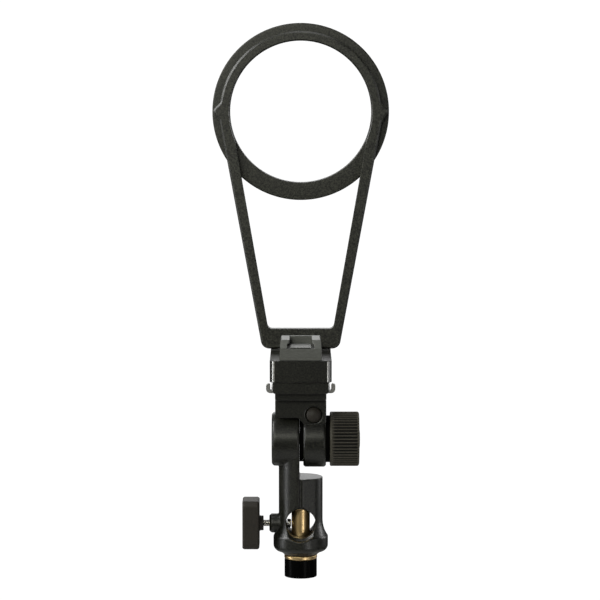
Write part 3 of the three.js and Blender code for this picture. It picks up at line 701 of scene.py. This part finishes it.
def lock_knob():
    low, high = box("lock_knob")
    right = high.x - 2.9
    slab = rounded_rectangle((low.x, low.z), (right, high.z), 1.6)
    face = rounded_rectangle((low.y, low.z), (high.y, high.z), 4)
    piece = prism("t_knob", slab, low.y, high.y, "y")
    meet(piece, prism("plan", face, low.x - 1, right + 1, "x"))
    bevel(piece, 1.4, 4, 40)
    hub = [(0, right - 1), (6.4, right - 1), (5.25, right + 0.8), (5.25, high.x), (0, high.x)]
    join(piece, lathe("hub", hub, "x", (0, 0, LOCK_HEIGHT), 64))
    cut(piece, rod("screw_hole", 2.7, -36.4, 0, "x", (0, 0, LOCK_HEIGHT)))
    soften(piece, 0.3, 0.5)
    dress(piece, "lock_knob", "knob_plastic", "lock_knob", crease=80)


# ---------- tilt knob ----------


def tilt_knob():
    """The rim is round at its left end, and the grip's ribs fade in and out along the rest."""
    low, high = box("tilt_knob")
    left, right, radius = low.x, high.x, 19.2
    lip_start, lip_end = left + 0.5, left + 1.5
    rib_end = right - 1.6
    rows = [(0, 37), (8.3, 37), (8.3, left + 0.5), (8.8, left), (17.6, left), (18.5, left + 0.08)]
    rows += [(radius - 0.12, lip_start), (radius, lip_start + 0.4), (radius, lip_end - 0.3)]
    rib_rows = 9
    span = rib_end - lip_end
    rows += [(radius, lip_end + span * i / rib_rows) for i in range(rib_rows + 1)]
    rows += arc(radius - 1.6, rib_end, 1.6, 12, 90, 6)
    rows += [(14.2, right), (12.9, right - 0.12), (12.3, right - 0.5), (12.3, 39.6), (0, 39.6)]
    ridge_depth = 1.25

    def ribs(wide, position, angle):
        if wide < 15 or position < lip_end - 0.1:
            return wide
        fade_in = min(1, (position - lip_end + 0.1) / 0.6)
        fade_out = min(1, max(0, (right - position) / 1.3))
        valley = 0.5 - 0.5 * math.cos(angle * KNOB_RIBS)
        return wide - ridge_depth * fade_in * fade_out * valley

    piece = lathe("ribbed_knob", rows, "x", (0, 0, TILT_HEIGHT), KNOB_RIBS * 8, ribs)
    # How deep each point lies in a groove, which ribbed_plastic uses to paint shade into the
    # grooves.
    groove = piece.data.attributes.new("groove", "FLOAT", "POINT")
    for point, value in zip(piece.data.vertices, groove.data):
        x, y, z = point.co / MM
        if lip_end < x < rib_end + 0.1:
            value.value = min(1, (radius - math.hypot(y, z - TILT_HEIGHT)) / (0.7 * ridge_depth))
    dress(piece, "tilt_knob", "knob_plastic", "tilt_knob", crease=60, finish=ribbed_plastic())


def tilt_knob_cap():
    profile = [(0, 39.9), (11.8, 39.9), (12, 40.1), (12, 40.7), (11.6, 41.05), (10.6, 41.2)]
    profile += [(10.2, 41.1), (9.8, 41.25), (5, 41.75), (0, 41.9)]
    piece = lathe("knob_cap", profile, "x", (0, 0, TILT_HEIGHT), 96)
    dress(piece, "tilt_knob", "knob_plastic", "tilt_knob_cap")


# ---------- tilt arm ----------


def tilt_arm():
    half_width, half_depth, corner = 17.9, 17.0, 4.2
    low_left, low_right = 115.2, 111.0
    outline = [
        (-half_width, BLOCK_TOP),
        *arc(-half_width + corner, low_left + corner, corner, 180, 270, 8),
        (-1.8, low_left),
        (1.9, low_right),
        (half_width - 1, low_right),
        (half_width, low_right + 1),
        (half_width, BLOCK_TOP),
    ]
    left, right, radius, edge = 1.8, 17.8, 19.7, 1.2
    cheek = [
        (0, left),
        (radius - edge, left),
        (radius, left + edge),
        (radius, right - edge),
        (radius - edge, right),
        (0, right),
    ]
    tilt = (0, 0, TILT_HEIGHT)
    bore = [
        (0, -half_depth - 1),
        (7.3, -half_depth - 1),
        (5.6, -half_depth + 0.7),
        (5.6, -9.9),
        (4.5, -9.9),
        (4.5, half_depth + 1),
        (0, half_depth + 1),
    ]
    piece = prism("arm_casting", outline, -half_depth, half_depth, "y")
    cut(piece, rod("saddle", 19.6, -30, left, "x", tilt, 128))
    join(piece, lathe("arm_cheek", cheek, "x", tilt, 128))
    cut(
        piece,
        rod("bolt_hole", BOLT_HOLE, -5, 30, "x", tilt),
        lathe("button_bore", bore, "y", (BUTTON.x, 0, BUTTON.z), 64),
        rod("latch_hole", LATCH_HOLE, 110.6, BLOCK_TOP + 1, "z", (BUTTON.x, LATCH_Y, 0), 32),
    )
    soften(piece, 0.4, 0.5)
    dress(piece, "tilt_head", "cast_black", "tilt_arm", crease=80)


def release_button():
    radius, face, dome = 5.3, -16.4, 2.6
    sphere = (radius**2 + dome**2) / (2 * dome)
    sweep = math.degrees(math.asin(radius / sphere))
    profile = [
        (0, face - dome),
        *arc(0, face - dome + sphere, sphere, -90, -90 + sweep, 12)[1:-1],
        (radius - 0.1, face - 0.15),
        (radius, face + 0.2),
        (radius, -13.6),
        (radius - 0.3, -13.4),
        (4.2, -13.4),
        (4.2, 1.7),
        (3.9, 2),
        (0, 2),
    ]
    piece = lathe("button_dome", profile, "y", (BUTTON.x, 0, BUTTON.z), 96)
    low, high = BUTTON.z - 6, BUTTON.z + 6
    slot = arc(-6, BUTTON.z + 1.5, 1.15, -45, 135, 10) + arc(-9, BUTTON.z - 1.5, 1.15, 135, 315, 10)
    cut(
        piece,
        cuboid("window", (BUTTON.x - LATCH_HOLE, -10.9, low), (BUTTON.x + LATCH_HOLE, -4.1, high)),
        prism("cam_slot", slot, BUTTON.x - 6, BUTTON.x + 6, "x"),
    )
    dress(piece, "release_button", "knob_plastic", "release_button")


def button_spring():
    low, high = box("button_spring")
    wire, coil, turns, steps, around = 0.42, 3.35, 6, 24, 10
    points, faces = [], []
    count = turns * steps
    reach = high.y - low.y - 2 * wire
    for i in range(count + 1):
        angle = math.tau * i / steps
        out = Vector((math.cos(angle), 0, math.sin(angle)))
        spot = Vector((BUTTON.x, low.y + wire + reach * i / count, BUTTON.z)) + out * coil
        for j in range(around):
            turn = math.tau * j / around
            along = Vector((0, wire * math.sin(turn), 0))
            points.append(spot + out * wire * math.cos(turn) + along)
    for start in range(0, count * around, around):
        end = start + around
        for j in range(around):
            follow = (j + 1) % around
            faces.append((start + j, start + follow, end + follow, end + j))
    faces += [tuple(range(around)), tuple(range(count * around, (count + 1) * around))]
    piece = solid("spring_coil", points, faces)
    dress(piece, "tilt_head", "steel", "button_spring")
    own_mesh(piece)


# ---------- slide rail ----------


def dovetail(name, low, high, half_low, half_high, front, back):
    outline = [(-half_low, low), (half_low, low), (half_high, high), (-half_high, high)]
    return prism(name, outline, front, back, "y")


def rail_base():
    half, ledge, foot = 19.4, 136.1, 17.4
    neck_x, neck_y, groove = 17.9, 24, 0.9
    root_x, root_y = neck_x - groove, neck_y - groove
    low, back = RAIL_LOW_FACE, PLATE_BACK
    edge = [(half, RAIL_TOP - 0.6), (half - 0.6, RAIL_TOP)]
    outline = mirrored([(foot, low), (foot, ledge), (half, ledge), *edge])
    plate_low, rounding = 133.8, 2
    plate = mirrored([*arc(half - rounding, plate_low + rounding, rounding, -90, 0, 8), *edge])
    piece = prism("rail_plate", outline, back, 30, "y")
    join(
        piece,
        prism("end_plate", plate, -30, back, "y"),
        cuboid("neck", (-neck_x, -neck_y, RAIL_LOW + groove), (neck_x, neck_y, low + 0.05)),
        cuboid("neck_root", (-root_x, -root_y, RAIL_LOW), (root_x, root_y, low)),
    )
    cut(piece, dovetail("dovetail", GROOVE_FLOOR, RAIL_TOP + 1, 16.3, 12.7, back, 40))
    bevel(piece, 0.35, 3)
    cut(
        piece,
        rod("latch_hole", LATCH_HOLE, 120, 145, "z", (BUTTON.x, LATCH_Y, 0), 32),
        rod("pad_hole", 5.3, 133.2, 145, "z", (-4, 0, 0)),
    )
    for x, y in RAIL_SCREWS:
        profile = [(0, 120), (SCREW_HOLE, 120), (SCREW_HOLE, 133.2)]
        profile += [(4.2, 133.2), (4.2, 145), (0, 145)]
        cut(piece, lathe("screw_hole", profile, "z", (x, y, 0), 48))
    dress(piece, "tilt_head", "cast_black", "rail_base")


def socket_screw(name, profile, axis, at, mouth, reach, body, node, size=1.7):
    """A turned screw with a hexagon socket sunk from mouth to reach along its axis."""
    piece = lathe(name, profile, axis, at, 64)
    outline = hexagon(at[0], at[1] if axis == "z" else at[2], size)
    cut(piece, prism("socket", outline, min(mouth, reach), max(mouth, reach), axis))
    bevel(piece, 0.14, 2)
    dress(piece, body, "dark_steel", node)


def button_plug():
    low, high = box("button_plug")
    radius = (high.x - low.x) / 2
    profile = [(0, low.y), (radius, low.y), (radius, high.y), (0, high.y)]
    place, node = (BUTTON.x, 0, BUTTON.z), "button_plug"
    socket_screw("spring_plug", profile, "y", place, high.y + 1, high.y - 1.8, "tilt_head", node)


def rail_screws():
    shank = [(0, 123), (1.6, 123), (2, 123.4), (2, 133.5)]
    profile = shank + [(3.8, 133.5), (3.8, 135.9), (3.5, 136.2), (0, 136.2)]
    for number, (x, y) in enumerate(RAIL_SCREWS, 1):
        name, node = f"rail_cap_screw_{number}", f"rail_screw_{number}"
        socket_screw(name, profile, "z", (x, y, 0), 137, 134.4, "tilt_head", node)


def guide_rails():
    inner, outer, low, high, ear_back = 21.2, 24.1, 134.0, 135.8, -22
    lip = (outer - inner) / 2
    ear = [
        (17.8, low),
        *arc(outer - 3, low + 3, 3, -90, 0, 8),
        *arc(outer - lip, RAIL_TOP - 0.9 - lip, lip, 0, 180, 14),
        (inner, high + 0.6),
        (inner - 0.6, high),
        (17.8, high),
    ]
    foot = [(17.8, low), (20.6, low), (20.6, high), (17.8, high)]
    for name, side in (("left", -1), ("right", 1)):
        piece = prism(f"rail_strip_{name}", [(side * u, v) for u, v in ear], -27, ear_back, "y")
        join(piece, prism("foot", [(side * u, v) for u, v in foot], ear_back - 1, 27, "y"))
        bevel(piece, 0.3, 3)
        dress(piece, "tilt_head", "rail_metal", f"guide_rail_{name}")


# ---------- head ----------


def head_block():
    half = 21.5
    right = [
        (18.2, HEAD_FRONT),
        (19.9, HEAD_FRONT + 1),
        (half, HEAD_FRONT + 4.2),
        *arc(half - 3, HEAD_BACK - 3, 3, 0, 90, 8),
    ]
    low, travel, slot_half = 141.9, 8, 2
    step_low, step_high = (-25, HEAD_FRONT - 1, SHOE_SEAT), (25, YOKE_FRONT - 0.5, HEAD_TOP + 1)
    piece = prism("head_casting", mirrored(right), low, HEAD_TOP, "z")
    cut(piece, cuboid("shoe_step", step_low, step_high))
    bevel(piece, 0.45, 3, 40)
    tongue_front = PLATE_BACK + 0.3 + travel
    join(piece, dovetail("tongue", GROOVE_FLOOR + 0.4, low + 0.1, 15.6, 12.2, tongue_front, 29))
    reach = travel + slot_half
    slot_low = (BUTTON.x - slot_half, LATCH_Y - reach, 130)
    slot_high = (BUTTON.x + slot_half, LATCH_Y + reach, 140.4)
    cut(piece, cuboid("latch_slot", slot_low, slot_high))
    for y in SHOE_SCREWS:
        cut(piece, rod("shoe_hole", SCREW_HOLE, 149.5, 160, "z", (0, y, 0), 48))
    for side in (-1, 1):
        profile = [(0, 140), (3.9, 140), (3.9, 150), (SCREW_HOLE, 150), (SCREW_HOLE, 160), (0, 160)]
        place = (side * YOKE_SCREW_X, YOKE_SCREW_Y, 0)
        cut(piece, lathe("yoke_hole", profile, "z", place, 48))
    dress(piece, "head", "cast_black", "head_block")
    piece.data.materials.append(MATERIALS["rail_metal"])  # bare on the two front corner facets
    facet = Vector((1, -1.7, 0)).normalized()
    for face in piece.data.polygons:
        if Vector((abs(face.normal.x), face.normal.y, face.normal.z)).dot(facet) > 0.999:
            face.material_index = 1


def flash_shoe():
    floor, slot_half, mouth_half = 165.6, 9.45, 7.8
    base = box("flash_shoe")[0].z
    outline = mirrored([(14.6, base), (14.4, floor), (13.8, SHOE_TOP - 0.6), (13.2, SHOE_TOP)])
    piece = prism("shoe", outline, SHOE_FRONT, SHOE_BACK, "y")
    stop, ramp_low = SHOE_BACK - 2.5, floor + 0.3
    ramp = [(-40, ramp_low), (SHOE_FRONT + 0.2, ramp_low)]
    ramp += [(SHOE_FRONT + 3, SHOE_TOP + 0.3), (-40, 180)]
    lead_in = mirrored([(10.4, SHOE_FRONT - 1), (mouth_half, SHOE_FRONT + 3.6)])
    cut(
        piece,
        cuboid("slot", (-slot_half, -40, floor), (slot_half, stop, 168.8)),
        cuboid("mouth", (-mouth_half, -40, floor), (mouth_half, stop, 180)),
        prism("ramp", ramp, -20, 20, "x"),
        prism("lead_in", lead_in, floor, 180, "z"),
    )
    bevel(piece, 0.22, 2)
    trim_low, trim_high = (-20, SHOE_FRONT - 2, base - 1), (20, SHOE_FRONT - 0.005, SHOE_TOP + 1)
    cut(piece, cuboid("front_trim", trim_low, trim_high))
    for y in SHOE_SCREWS:
        profile = [(0, 150), (SCREW_HOLE, 150), (SCREW_HOLE, 163.2)]
        profile += [(4.2, 165), (4.2, 175), (0, 175)]
        cut(piece, lathe("screw_hole", profile, "z", (0, y, 0), 48))
    dress(piece, "head", "satin_grey", "flash_shoe")


def shoe_screws():
    shank = [(0, 150), (1.6, 150), (2, 150.4), (2, 163.5)]
    profile = shank + [(3.8, 165.2), (3.8, 165.5), (0, 165.5)]
    for number, y in enumerate(SHOE_SCREWS, 1):
        name, node = f"shoe_sunk_screw_{number}", f"shoe_screw_{number}"
        socket_screw(name, profile, "z", (0, y, 0), 166, 163.8, "head", node)


def shoe_spring():
    """A thin plate whose top rises in a shallow crown."""
    low = box("shoe_spring")[0].z
    front, back, top, crown = -31.6, -4.4, low + 0.5, 0.4
    outline = [(front, low), (back, low), (back, top)]
    for step in range(9):
        rise = crown * math.sin(math.pi * (0.5 + step / 8) / 2)
        outline.append((-10 - 16 * step / 8, top + rise))
    outline.append((front, top))
    piece = prism("shoe_plate", outline, -7.2, 7.2, "x")
    bevel(piece, 0.12, 2, 35)
    dress(piece, "head", "satin_grey", "shoe_spring")


def yoke_screws():
    head = [(0, 146.4), (3.3, 146.4), (3.5, 146.6), (3.5, 149.7)]
    profile = head + [(2, 149.7), (2, 165.6), (1.6, 166), (0, 166)]
    for hand, side in (("left", -1), ("right", 1)):
        place = (side * YOKE_SCREW_X, YOKE_SCREW_Y, 0)
        name, node = f"yoke_cap_screw_{hand}", f"yoke_screw_{hand}"
        socket_screw(name, profile, "z", place, 145, 148.4, "head", node)


# ---------- yoke and ring ----------


def arm_outer(z):
    """Half the yoke's width at a height below the nubs."""
    half_at_foot, slope, foot = 29.4, 0.1847, 168.2
    return half_at_foot + slope * (z - foot)


def arm_inner(z):
    """Half the opening's width at a height above the bar."""
    half_at_foot, slope, foot = 24.1, 0.177, 176.8
    return half_at_foot + slope * (z - foot)


def yoke_outline():
    low, high, corner = -6.5, 8.8, 6.1
    start = math.degrees(math.asin(high / YOKE_RADIUS))
    corner_x = arm_outer(YOKE_LOW) - corner * 0.83
    nub = [(0.6, -1.1), (0, 0.1), (0.2, 1.4), (1.3, 3.1), (3.9, 5.5), (5, 6.9)]
    foot = RING_HEIGHT + low
    return mirrored(
        [
            *arc(corner_x, YOKE_LOW + corner, corner, -90, -10.5, 12),
            (arm_outer(foot), foot),
            (arm_outer(foot) + 0.9, foot + 0.7),
            *[(NUB_REACH - short, RING_HEIGHT + rise) for short, rise in nub],
            *arc(0, RING_HEIGHT, YOKE_RADIUS, start, 90, 56),
        ]
    )


def yoke_opening():
    corner, bar_top, meeting, radius = 3.6, 172.7, -20.5, 51.1
    end = math.degrees(math.asin(meeting / radius))
    corner_x = arm_inner(bar_top) - corner * 0.83
    return mirrored(
        [
            *arc(corner_x, bar_top + corner, corner, -90, -10, 8),
            *arc(0, RING_HEIGHT, radius, end, 90, 72),
        ]
    )


def yoke_frame():
    piece = chamfered_prism("yoke_casting", yoke_outline(), YOKE_FRONT, YOKE_BACK, 1.3)
    cut(piece, prism("opening", yoke_opening(), YOKE_FRONT - 1, YOKE_BACK + 1, "y"))
    bevel(piece, 0.4, 2, 60)
    for side in (-1, 1):
        place = (side * YOKE_SCREW_X, YOKE_SCREW_Y, 0)
        cut(piece, rod("bar_hole", SCREW_HOLE, 150, 166.6, "z", place, 48))
        place = (side * RING_SCREW_X, 0, RING_HEIGHT)
        cut(piece, rod("nub_hole", 1.8, YOKE_FRONT + 2.5, YOKE_BACK + 3, "y", place, 48))
    dress(piece, "head", "frame_black", "yoke_frame", crease=40)


def softbox_ring():
    opening, back = 50.5, 50.7
    profile = [
        (opening, RING_FRONT + 0.7),
        (opening + 0.2, RING_FRONT + 0.2),
        (opening + 0.7, RING_FRONT),
        (RING_RADIUS - 1, RING_FRONT),
        (RING_RADIUS - 0.3, RING_FRONT + 0.3),
        (RING_RADIUS, RING_FRONT + 1),
        (RING_RADIUS, back - 1),
        (RING_RADIUS - 0.3, back - 0.3),
        (RING_RADIUS - 1, back),
        (56.4, back),
        (56, back + 0.4),
        (56, LIP_BACK - 0.3),
        (55.7, LIP_BACK),
        (53.3, LIP_BACK),
        (53, LIP_BACK - 0.3),
        (opening, back),
        (opening, RING_FRONT + 0.7),
    ]
    piece = lathe("ring_casting", profile, "y", (0, 0, RING_HEIGHT), 256)
    for side in (-1, 1):
        hole = [(0, 32.4), (1.8, 32.4), (1.8, back - 3.9), (3.2, back - 2.5), (3.2, 56), (0, 56)]
        cut(piece, lathe("hole", hole, "y", (side * RING_SCREW_X, 0, RING_HEIGHT), 48))
    dress(piece, "head", "frame_black", "softbox_ring", crease=40)


def ring_screws():
    front, back = (corner.y for corner in box("ring_screw_left"))
    profile = [
        (0, front),
        (1.2, front),
        (1.5, front + 0.3),
        (1.5, back - 3),
        (2.9, back - 1.5),
        (2.9, back),
        (0, back),
    ]
    for hand, side in (("left", -1), ("right", 1)):
        place = (side * RING_SCREW_X, 0, RING_HEIGHT)
        name, node = f"ring_sunk_screw_{hand}", f"ring_screw_{hand}"
        socket_screw(name, profile, "y", place, back + 1, back - 1.6, "head", node, 1.25)


# ---------- scene ----------


def aim(thing, target):
    direction = Vector(target) - thing.location
    thing.rotation_euler = direction.to_track_quat("-Z", "Y").to_euler()


def area_light(name, place, target, size, power, colour=(1, 1, 1)):
    light = bpy.data.lights.new(name, "AREA")
    light.shape = "RECTANGLE"
    light.size, light.size_y = size
    light.energy = power
    light.color = colour
    lamp = bpy.data.objects.new(name, light)
    lamp.location = place
    lamp.visible_camera = False
    bpy.context.scene.collection.objects.link(lamp)
    aim(lamp, target)


def lights():
    """Soft boxes all round: name, place, aim, size, watts and colour."""
    middle, base, ring = (0, 0, 0.2), (0, 0, 0.05), (0, 0, 0.38)
    area_light("key", (-0.92, -1.15, 0.55), middle, (0.3, 0.7), 5, (1, 0.99, 0.9))
    area_light("low_strip", (0.76, -1.25, -0.2), base, (0.25, 0.5), 2.4, (1, 0.99, 0.97))
    area_light("front", (-0.35, -1.75, 0.75), middle, (0.5, 0.3), 6, (1, 1, 0.88))
    area_light("high", (-0.5, -1.0, 1.1), middle, (0.5, 0.4), 2)
    area_light("left_strip", (-1.25, -0.2, 0.15), middle, (0.16, 1.0), 4, (0.97, 0.98, 1))
    area_light("right_strip", (1.25, -0.67, 0.1), middle, (0.12, 1.0), 1)
    area_light("upper_left", (-1.05, -0.05, 0.95), ring, (0.25, 0.9), 12)
    area_light("right_rim", (1.0, 0.5, 0.35), middle, (0.15, 0.8), 4)
    area_light("overhead", (0.05, -0.1, 1.35), middle, (0.7, 0.5), 3)
    area_light("backdrop", (0, 1.7, 0.75), middle, (1.4, 1.1), 8)


def world():
    """White where the camera sees past the object, and a dim grey for the light it gives."""
    sky = bpy.data.worlds.new("studio")
    bpy.context.scene.world = sky
    sky.use_nodes = True
    nodes, links = sky.node_tree.nodes, sky.node_tree.links
    nodes.clear()
    seen, glow = (nodes.new("ShaderNodeBackground") for _ in range(2))
    for light, strength in ((seen, 1.05), (glow, 0.02)):
        light.inputs["Color"].default_value = (1, 1, 1, 1)
        light.inputs["Strength"].default_value = strength
    path = nodes.new("ShaderNodeLightPath")
    choice = nodes.new("ShaderNodeMixShader")
    output = nodes.new("ShaderNodeOutputWorld")
    links.new(path.outputs["Is Camera Ray"], choice.inputs["Fac"])
    links.new(glow.outputs["Background"], choice.inputs[1])
    links.new(seen.outputs["Background"], choice.inputs[2])
    links.new(choice.outputs["Shader"], output.inputs["Surface"])


def floor():
    """A pale round floor, low enough to stay under the main camera's view."""
    drop, radius, count = -0.35, 0.6, 96
    turns = [math.tau * step / count for step in range(count)]
    rim = [(radius * math.cos(turn), radius * math.sin(turn), drop) for turn in turns]
    mesh = bpy.data.meshes.new("floor")
    mesh.from_pydata(rim, [], [tuple(range(count))])
    disc = link("floor", mesh)
    shader = Shader("pale_floor", 0.9)
    tones = [(0.3, (0.50, 0.50, 0.49)), (0.7, (0.54, 0.54, 0.53))]
    shader.colour(shader.ramp(shader.noise(40, 2), tones))
    mesh.materials.append(shader.material)


def camera():
    """A long lens straight in front, looking a little down, as in the photograph."""
    sensor, focal_length, place, pitch = 36, 150.98, (-0.0005, -1.76, 0.3633), 5.414
    lens = bpy.data.cameras.new("camera")
    lens.sensor_width = sensor
    lens.lens = focal_length
    lens.clip_start = 0.05
    eye = bpy.data.objects.new("camera", lens)
    eye.location = place
    eye.rotation_euler = (math.radians(90 - pitch), 0, 0)
    bpy.context.scene.collection.objects.link(eye)
    bpy.context.scene.camera = eye


def cad_materials():
    """Gives the CAD meshes, of which the enclosed ones stay, the materials of their slots."""
    for entry in frame["record"]["subparts"]:
        node = frame["nodes"][entry["node"]]
        node.data.materials.clear()
        node.data.materials.append(MATERIALS[entry["material_slot"]])


def build():
    cad_materials()
    for make in (
        stand_tube,
        spigot,
        receiver_body,
        cheek_cap,
        washers,
        lock_screw,
        lock_pad,
        lock_bush,
        lock_knob,
        tilt_knob,
        tilt_knob_cap,
        tilt_arm,
        release_button,
        button_spring,
        rail_base,
        button_plug,
        rail_screws,
        guide_rails,
        head_block,
        flash_shoe,
        shoe_screws,
        shoe_spring,
        yoke_frame,
        yoke_screws,
        softbox_ring,
        ring_screws,
    ):
        make()


camera()
world()
lights()
floor()
build()
bpy.context.scene.view_settings.view_transform = "Standard"
